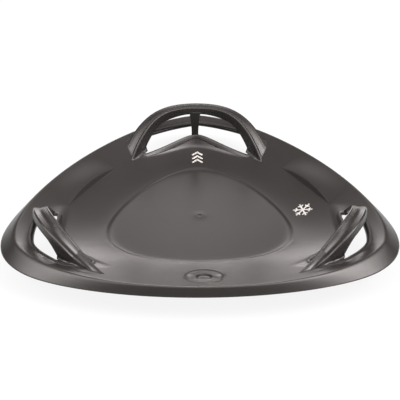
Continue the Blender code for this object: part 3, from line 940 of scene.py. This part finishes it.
    def build(self, pan: DishPan, finish: bpy.types.Material) -> bpy.types.Object:
        """Sweep the section from end to end.

        The section runs up the inner skirt, round a quarter circle, across the slightly hollow
        top, round another quarter circle and down the outer skirt.

        Args:
            pan: the dish the grip stands on.
            finish: its material.

        Returns:
            The grip.
        """
        inner, outer = self.rails(pan)
        span = outer - inner
        flat = span * (1.0 - UP)
        wide = np.linalg.norm(flat, axis=1)[:, None]
        out = flat / wide
        drop_in, drop_out = self.drops(np.abs(inner[:, 0]))
        first, lands_in = self.flank(pan, inner, out, self.lean[0], drop_in)
        last, lands_out = self.flank(pan, outer, -out, self.lean[1], drop_out)
        edge = self.round / wide[:, 0]
        top = [
            inner + span * (edge + (1 - 2 * edge) * share)[:, None] + UP * self.relief(share)
            for share in self.across()
        ]
        grid = np.stack(first + top + last[::-1], 1)
        x, y = to_world(grid[..., 0] + self.middle, grid[..., 1], self.corner.value)
        grid = np.stack([x, y, grid[..., 2]], -1)
        away = np.stack([*to_world(out[:, 0], out[:, 1], self.corner.value), np.zeros(len(out))], -1)
        count = grid.shape[1]
        lands = np.where(np.arange(count) < count // 2, lands_in[:, None], lands_out[:, None])
        grid = self.landed(pan, grid, away, inner[:, 2] - self.ground(pan, inner), lands)
        piece = shell(self.name, grid, grid_faces(len(grid), count, wrap=False), self.thickness)
        amount = np.zeros(grid.shape[:2])
        amount[:, len(SKIRT_SHARES) + 2 : len(SKIRT_SHARES) + 6] = self.crest_wear[0]
        amount[:, -len(SKIRT_SHARES) - 6 : -len(SKIRT_SHARES) - 2] = self.crest_wear[1]
        rub(piece, amount)
        soften(piece, width=0.0007, segments=2, angle=50)
        return settle(piece, finish, self.cad_node, self.cad_node)

    def across(self) -> Array:
        """Shares of the top's width at which it is sampled: even ones, and five at each moulded line."""
        steps = np.array([-1.0, -0.5, 0.0, 0.5, 1.0])
        near = [np.clip(place + steps * wide, 0.01, 0.99) for place, wide, _ in self.lines]
        return np.unique(np.round(np.concatenate([np.linspace(0.0, 1.0, 13)[1:-1], *near]), 4))

    def relief(self, share: float) -> float:
        """Height of the top at a share of its width: a shallow hollow, and a raised cosine for each line."""
        total = -self.dip * math.sin(math.pi * share)
        for place, wide, rise in self.lines:
            total += 0.5 * rise * (1 + math.cos(math.pi * min(abs(share - place) / wide, 1.0)))
        return total

    def ground(self, pan: DishPan, line: Array) -> Array:
        """Height of the pan under a line given in the corner's frame."""
        x, y = to_world(line[:, 0] + self.middle, line[:, 1], self.corner.value)
        return pan.height(x, y)


@dataclass
class Strut:
    """Flat strut from a hole's raised inner edge up to the grip, flared at its head and foot."""

    name: str
    cad_node: str
    corner: Corner
    middle: float
    foot_out: float
    head_out: float
    head_up: float
    half: float = 0.0068
    head_half: float = 0.0125
    foot_half: float = 0.0085
    sunk: float = 0.004
    thickness: float = 0.0034
    steps: tuple[int, int] = (33, 28)  # points up the strut and round its section
    bulge: tuple[float, float] = (0.35, 0.6)  # powers of the section's cosine and sine

    def build(self, pan: DishPan, finish: bpy.types.Material) -> bpy.types.Object:
        """Loft a flat section with rounded ends from foot to head.

        The half width grows by 0.7 evenly up to the head and by 0.3 with the eighth power of
        the way up; at the foot it widens with the sixth power of the way down. The section is a
        superellipse: its cosine and sine are raised to the bulge's powers.

        Args:
            pan: the dish the strut rises from.
            finish: its material.

        Returns:
            The strut.
        """
        x, y = to_world(np.array([self.middle]), np.array([self.foot_out]), self.corner.value)
        low = float(pan.height(x, y)[0]) - self.sunk
        s = np.linspace(0.0, 1.0, self.steps[0])
        half = self.half + (self.head_half - self.half) * (0.7 * s + 0.3 * s**8)
        half = half + (self.foot_half - self.half) * (1 - s) ** 6
        turn = turns(self.steps[1])
        across, deep = (
            np.sign(wave) * np.abs(wave) ** power
            for wave, power in zip((np.cos(turn), np.sin(turn)), self.bulge)
        )
        t = self.middle + half[:, None] * across[None]
        n = (self.foot_out + (self.head_out - self.foot_out) * s)[:, None] + 0.5 * self.thickness * deep[None]
        z = np.broadcast_to((low + (self.head_up - low) * s)[:, None], t.shape)
        grid = np.stack([*to_world(t, n, self.corner.value), z], -1)
        rows, cols = grid.shape[:2]
        faces = grid_faces(rows, cols, wrap=True).tolist()
        faces += [list(range(cols))[::-1], list(range((rows - 1) * cols, rows * cols))]
        piece = mesh_object(self.name, grid, faces)
        self.outward(piece, grid)
        return settle(piece, finish, self.cad_node, self.cad_node)

    @staticmethod
    def outward(piece: bpy.types.Object, grid: Array) -> None:
        """Turn the closed strut inside out if its first face looks at its own middle."""
        face = piece.data.polygons[0]
        if np.dot(np.array(face.center) - grid[:2].reshape(-1, 3).mean(0), np.array(face.normal)) < 0:
            piece.data.flip_normals()


@dataclass
class RopeBoss:
    """Oval rope boss let into the near side: a ring, a sunk hub in its middle and two end slots.

    The section's points are a share of the ellipse and a height over the boss's plane.
    """

    azimuth: float = 270.0
    middle: float = 0.0040
    outward: float = 0.2280
    length: float = 0.0690
    width: float = 0.0760
    section: tuple[tuple[float, float], ...] = (
        (1.03, -0.0010), (1.025, 0.0002), (1.00, 0.0003), (0.97, 0.0002), (0.955, -0.0001),
        (0.93, -0.0009), (0.905, -0.0017), (0.885, -0.0020), (0.80, -0.0021), (0.70, -0.0021),
        (0.60, -0.0021), (0.50, -0.0020), (0.455, -0.0017), (0.43, -0.0017), (0.415, -0.0020),
        (0.375, -0.0032), (0.335, -0.0044), (0.29, -0.0051), (0.20, -0.0053), (0.10, -0.0051),
        (0.04, -0.0051),
    )
    slot_depth: float = 0.0016
    slot_out: float = 0.35  # place of a slot's middle as a share of the length
    slot_size: tuple[float, float] = (0.0045, 0.0095)
    joint: tuple[float, float] = (0.88, 0.09)  # where the plane turns into the pan, and over how much
    segments: int = 120
    thickness: float = 0.0022
    socket: float = 0.985

    def outline(self) -> Array:
        """Closed plan outline of the opening that the boss fills in the pan: its ellipse at a share."""
        turn = turns(self.segments)
        x, y = to_world(self.middle + 0.5 * self.length * self.socket * np.cos(turn),
                        self.outward + 0.5 * self.width * self.socket * np.sin(turn), self.azimuth)
        return np.stack([x, y], -1)

    def build(self, pan: DishPan, finish: bpy.types.Material) -> bpy.types.Object:
        """Turn the section round an ellipse that lies on the pan.

        A ring is the ellipse scaled by its share; its height is measured from the plane that
        the pan follows under the boss. The two slots are bells pressed into the ring's floor.

        Args:
            pan: the dish the boss is let into.
            finish: its material.

        Returns:
            The boss.
        """
        turn = turns(self.segments)
        share, rise = np.array(self.section).T[:, :, None]
        a = 0.5 * self.length * share * np.cos(turn)
        b = 0.5 * self.width * share * np.sin(turn)
        slot = np.exp(-(((np.abs(a) - self.slot_out * self.length) / self.slot_size[0]) ** 4)
                      - (b / self.slot_size[1]) ** 4)
        x, y = to_world(self.middle + a, self.outward + b, self.azimuth)
        n = np.array([-0.5, 0.5]) * self.width
        ends = pan.plain(*to_world(np.full(2, self.middle), self.outward + n, self.azimuth))
        plane = ends[0] + (ends[1] - ends[0]) * (b / self.width + 0.5)
        blend = smooth((share - self.joint[0]) / self.joint[1])
        z = plane * (1 - blend) + pan.plain(x, y) * blend + rise - self.slot_depth * slot
        grid = np.stack([x, y, z], -1)
        points = np.vstack([grid.reshape(-1, 3), grid[-1].mean(0)[None]])
        faces = grid_faces(*grid.shape[:2], wrap=True).tolist()
        k = np.arange(self.segments) + (len(self.section) - 1) * self.segments
        faces += np.stack([k, np.roll(k, -1), np.full(len(k), len(points) - 1)], -1).tolist()
        piece = shell("tow_boss_face", points, faces, self.thickness)
        return settle(piece, finish, "boss", "tow_boss")


@dataclass
class PadPrint:
    """A thin white print made of straight strokes that follow the pan."""

    name: str
    centre: tuple[float, float]
    turn: float
    strokes: tuple[Stroke, ...]
    lift: float = 0.00035
    thickness: float = 0.0003
    steps: tuple[int, int] = (9, 4)  # points along and across a stroke

    def build(self, pan: DishPan, finish: bpy.types.Material) -> bpy.types.Object:
        """Lay each stroke on the pan.

        A stroke is a grid along and across the straight line between its ends, turned and moved
        in plan, at the pan's height plus the lift.

        Args:
            pan: the dish that carries the print.
            finish: the ink.

        Returns:
            The print.
        """
        ends = np.array([[s[0], s[1]] for s in self.strokes])
        wide = np.array([s[2] for s in self.strokes])
        run = unit(ends[:, 1] - ends[:, 0])
        side = np.stack([-run[:, 1], run[:, 0]], -1)[:, None, None]
        s = np.linspace(0.0, 1.0, self.steps[0])[None, :, None, None]
        w = np.linspace(-0.5, 0.5, self.steps[1])[None, None, :, None]
        start, stop = ends[:, None, None, 0], ends[:, None, None, 1]
        plan = start * (1 - s) + stop * s + side * (w * wide[:, None, None, None])
        a = math.radians(self.turn)
        x = self.centre[0] + plan[..., 0] * math.cos(a) - plan[..., 1] * math.sin(a)
        y = self.centre[1] + plan[..., 0] * math.sin(a) + plan[..., 1] * math.cos(a)
        points = np.stack([x, y, pan.height(x, y) + self.lift], -1)
        one = grid_faces(s.size, w.size, wrap=False)
        faces = (one[None] + (np.arange(len(ends)) * s.size * w.size)[:, None, None]).reshape(-1, 4)
        return settle(shell(self.name, points, faces, self.thickness), finish, "pan")


@dataclass
class Studio:
    """Pale floor, white surround with soft panels of light, and the camera.

    The camera's place is its turn, height angle and roll in radians, its focal length in pixels
    of a 400 px frame, its distance and its shifts. A panel is an azimuth clockwise from +Y and a
    height, both in degrees, then a sharpness and a strength. The backdrop's top edge fades
    between two heights in degrees.
    """

    yaw: float = 0.01886
    elevation: float = 0.54934
    roll: float = -0.00647
    focal_px: float = 596.77
    frame_px: int = 400
    sensor: float = 36.0
    distance: float = 1.2
    shift_right: float = -0.00079
    shift_up: float = -0.0312
    floor_level: float = -0.0032
    floor_size: float = 12.0
    floor_own: float = 0.88
    floor_colour: str = "#f4f4f4"
    fill: float = 0.06
    tint: tuple[float, float, float, float] = (1.0, 0.945, 0.93, 1.0)
    white: tuple[float, float, float, float] = (1.0, 1.0, 1.0, 1.0)
    panels: tuple[tuple[float, float, float, float], ...] = (
        (0.0, 9.0, 34.0, 3.0), (0.0, 3.0, 40.0, 2.8), (0.0, 25.0, 34.0, 0.3), (0.0, 38.0, 60.0, 1.1),
        (-102.0, 52.0, 22.0, 7.0), (102.0, 52.0, 22.0, 11.4), (180.0, 86.0, 40.0, 3.6),
    )
    backdrop: tuple[float, float] = (0.0, 3.0)

    def camera(self) -> None:
        """Place the camera by its turn, height angle, roll and focal length."""
        right = np.array([1.0, 0.0, 0.0])
        up = np.array([0.0, math.sin(self.elevation), math.cos(self.elevation)])
        ahead = np.array([0.0, math.cos(self.elevation), -math.sin(self.elevation)])
        centre = -self.distance * ahead - self.shift_right * right - self.shift_up * up
        back = Matrix.Rotation(-self.yaw, 3, "Z")
        basis = back @ Matrix((right, up, -ahead)).transposed() @ Matrix.Rotation(-self.roll, 3, "Z")
        data = bpy.data.cameras.new("camera")
        data.sensor_width = self.sensor
        data.lens = self.focal_px / self.frame_px * self.sensor
        made = bpy.data.objects.new("camera", data)
        bpy.context.scene.collection.objects.link(made)
        made.matrix_world = Matrix.Translation(back @ Vector(centre.tolist())) @ basis.to_4x4()
        bpy.context.scene.camera = made

    @staticmethod
    def rays(add: partial, *kinds: str) -> bpy.types.NodeSocket:
        """Socket that is 1 for rays of any of the kinds named, else 0."""
        path = add("LightPath", {}).outputs
        total = path[f"Is {kinds[0]} Ray"]
        for kind in kinds[1:]:
            total = add("Math", {0: total, 1: path[f"Is {kind} Ray"]}, operation="MAXIMUM").outputs[0]
        return total

    def world(self) -> None:
        """White surround: plain white to the eye, and a dome of soft round panels to the sled.

        Gloss shows the same white backdrop up to its top edge and the panels above it. A
        panel's light falls off with the angle a from its middle as exp(sharpness (cos a - 1)).
        """
        made = bpy.data.worlds.new("studio")
        add = partial(node, blank(made))
        look = add("TexCoord", {}).outputs["Generated"]
        total = self.fill
        for azimuth, height, sharpness, strength in self.panels:
            a, h = math.radians(azimuth), math.radians(height)
            middle = (math.sin(a) * math.cos(h), math.cos(a) * math.cos(h), math.sin(h))
            facing = add("VectorMath", {0: look, 1: middle}, operation="DOT_PRODUCT").outputs["Value"]
            power = add("Math", {0: facing, 1: sharpness, 2: -sharpness}, operation="MULTIPLY_ADD")
            fall = add("Math", {0: power}, operation="EXPONENT")
            total = add("Math", {0: fall, 1: strength, 2: total}, operation="MULTIPLY_ADD")
        low, high = (math.sin(math.radians(edge)) for edge in self.backdrop)
        height = add("SeparateXYZ", {0: look}).outputs[2]
        below = add("MapRange", {"Value": height, "From Min": high, "From Max": low})
        gloss = add("Math", {0: self.rays(add, "Glossy"), 1: below}, operation="MULTIPLY")
        seen = add("Math", {0: self.rays(add, "Camera", "Transmission"), 1: gloss}, operation="MAXIMUM")
        level = add("Mix", {0: seen, 2: total, 3: 1.0}, data_type="FLOAT")
        shade = add("Mix", {0: seen, 6: self.tint, 7: self.white}, data_type="RGBA").outputs[2]
        light = add("Background", {"Color": shade, "Strength": level})
        add("OutputWorld", {"Surface": light})
        bpy.context.scene.world = made

    def floor(self) -> None:
        """Pale sweep under the sled: mostly its own white to the eye, the rest lit, so the shadow stays."""
        corners = [(-1.0, -1.0), (1.0, -1.0), (1.0, 1.0), (-1.0, 1.0)]
        points = np.array([[x * self.floor_size, y * self.floor_size, self.floor_level] for x, y in corners])
        made = mesh_object("floor", points, [(0, 1, 2, 3)])
        finish = bpy.data.materials.new("white_sweep")
        add = partial(node, blank(finish))
        seen = self.rays(add, "Camera", "Transmission", "Glossy")
        share = add("Math", {0: seen, 1: self.floor_own}, operation="MULTIPLY")
        lit = add("BsdfDiffuse", {"Color": linear(self.floor_colour)})
        own = add("Emission", {"Color": self.white, "Strength": 1.0})
        mixed = add("MixShader", {0: share, 1: lit, 2: own})
        add("OutputMaterial", {"Surface": mixed})
        made.data.materials.append(finish)

    def build(self) -> None:
        """Make floor, world and camera, and set the plain view transform."""
        self.floor()
        self.world()
        self.camera()
        bpy.context.scene.view_settings.view_transform = "Standard"


def front_hole() -> HandHole:
    """The wide hole behind the front grip."""
    return HandHole(
        Corner.FRONT, middle=FRONT_SHIFT - 0.0010, half=0.1205, land=0.0266, round=0.0065,
        base=(0.2605, 0.076, 0.25), edge=(0.2850, 0.070, 0.04), rise=0.0145, reach=0.140,
        web_middle=FRONT_SHIFT, spread=1.9, opened=0.0070,
    )


def side_hole(corner: Corner, hand: float) -> HandHole:
    """A near hole; its grip stands forward of the corner's axis by the hand."""
    return HandHole(
        corner, middle=hand * 0.0088, half=0.0852, land=0.0290, round=0.0130,
        base=(0.2745, 0.052, 0.01), edge=(0.2920, 0.055, 0.04), rise=0.0095, reach=0.110,
        web_middle=hand * SIDE_SHIFT, near=-hand,
    )


def front_grip() -> ChannelGrip:
    """The wide grip at the front."""
    return ChannelGrip(
        "front_grip_cover", "front_grip", Corner.FRONT, middle=FRONT_SHIFT, half=0.152,
        plan=(0.2945, -0.0693, -0.0587), inner_crest=(0.1080, 0.0, -0.0998),
        outer_crest=(0.1088, -0.0139, -0.0988), width=(0.0305, 0.0060),
        inner_skirt=0.0145, outer_skirt=0.0150, arch=(0.060, 0.100), lines=FRONT_LINES,
        curtain=(0.070, 0.100, 0.0063), apron=(0.012, 0.067, 0.0045),
    )


def side_grip(corner: Corner, hand: float) -> ChannelGrip:
    """A narrower grip at a near corner."""
    side = corner.name.lower()
    return ChannelGrip(
        f"{side}_grip_cover", f"{side}_grip", corner, middle=hand * SIDE_SHIFT, half=0.106,
        plan=(0.2894, -0.0265, -0.0234), inner_crest=(0.0917, -0.0452, -0.0696, 0.0340),
        outer_crest=(0.0917, -0.0483, -0.0696, 0.0340), width=(0.0285, -0.0079),
        inner_skirt=0.0125, outer_skirt=0.0125, arch=(0.030, 0.058), lines=SIDE_LINES,
        round=0.0026, flare=0.0028, near=-hand,
    )


def front_strut() -> Strut:
    """The strut under the front grip."""
    return Strut("front_strut", "front_web", Corner.FRONT, middle=0.0068, foot_out=0.2835,
                 head_out=0.2942, head_up=0.0975, half=0.0064, head_half=0.0140)


def side_strut(corner: Corner, hand: float) -> Strut:
    """The strut under a side grip."""
    side = corner.name.lower()
    return Strut(f"{side}_strut", f"{side}_web", corner, middle=hand * SIDE_SHIFT,
                 foot_out=0.2905, head_out=0.2892, head_up=0.0835)


def flake(
    reach: float, fork: float = 0.55, twig: float = 0.34, lean: float = 55.0,
    widths: tuple[float, float] = (0.0030, 0.0026),
) -> tuple[Stroke, ...]:
    """Plain six-armed snowflake, each arm a spoke with two side strokes.

    Args:
        reach: length of a spoke.
        fork: share of the spoke at which its side strokes start.
        twig: length of a side stroke, as a share of the spoke's.
        lean: angle from a spoke to its side strokes, in degrees.
        widths: of a spoke and of a side stroke.

    Returns:
        The strokes.
    """
    strokes = []
    for k in range(6):
        a = math.radians(60 * k)
        tip = (reach * math.cos(a), reach * math.sin(a))
        strokes.append(((0.0, 0.0), tip, widths[0]))
        for side in (-1, 1):
            b = a + side * math.radians(lean)
            root = (fork * tip[0], fork * tip[1])
            end = (root[0] + twig * reach * math.cos(b), root[1] + twig * reach * math.sin(b))
            strokes.append((root, end, widths[1]))
    return tuple(strokes)


def main() -> None:
    """Build every piece and the studio."""
    logging.basicConfig(level=logging.INFO, format="%(message)s")
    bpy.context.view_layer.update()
    near = ((Corner.LEFT, -1.0), (Corner.RIGHT, 1.0))
    holes = [front_hole(), *(side_hole(*place) for place in near)]
    boss = RopeBoss()
    pan = DishPan(holes=holes, cups=[boss.outline()])
    plastic = MouldedPolypropylene("satin_moulded_polypropylene").make()
    grip_plastic = MouldedPolypropylene(
        "hand_rubbed_grip_polypropylene", roughness=0.28, grain_depth=0.10).make()
    # Painted shade: the hole lips and struts get the same plastic in darker colours, because they sit in
    # shade under the grips.
    web_painted_shade_plastic = MouldedPolypropylene(
        "painted_shade_web_polypropylene", deep="#242221", pale="#292726", roughness=0.36).make()
    ink = PadPrintedInk().make()
    pan.build(plastic)
    for hole in holes:
        side = hole.corner.name.lower()
        HoleLip(f"{side}_hole_lip", hole, f"{side}_web").build(pan, web_painted_shade_plastic)
    for grip in (front_grip(), *(side_grip(*place) for place in near)):
        grip.build(pan, grip_plastic)
    for strut in (front_strut(), *(side_strut(*place) for place in near)):
        strut.build(pan, web_painted_shade_plastic)
    boss.build(pan, plastic)
    PadPrint("front_print", (-0.0017, 0.2265), 0.0, CHEVRONS).build(pan, ink)
    PadPrint("side_print", (0.2065, -0.0010), -20.0, flake(0.0190)).build(pan, ink)
    Studio().build()


if __name__ == "__main__":
    main()
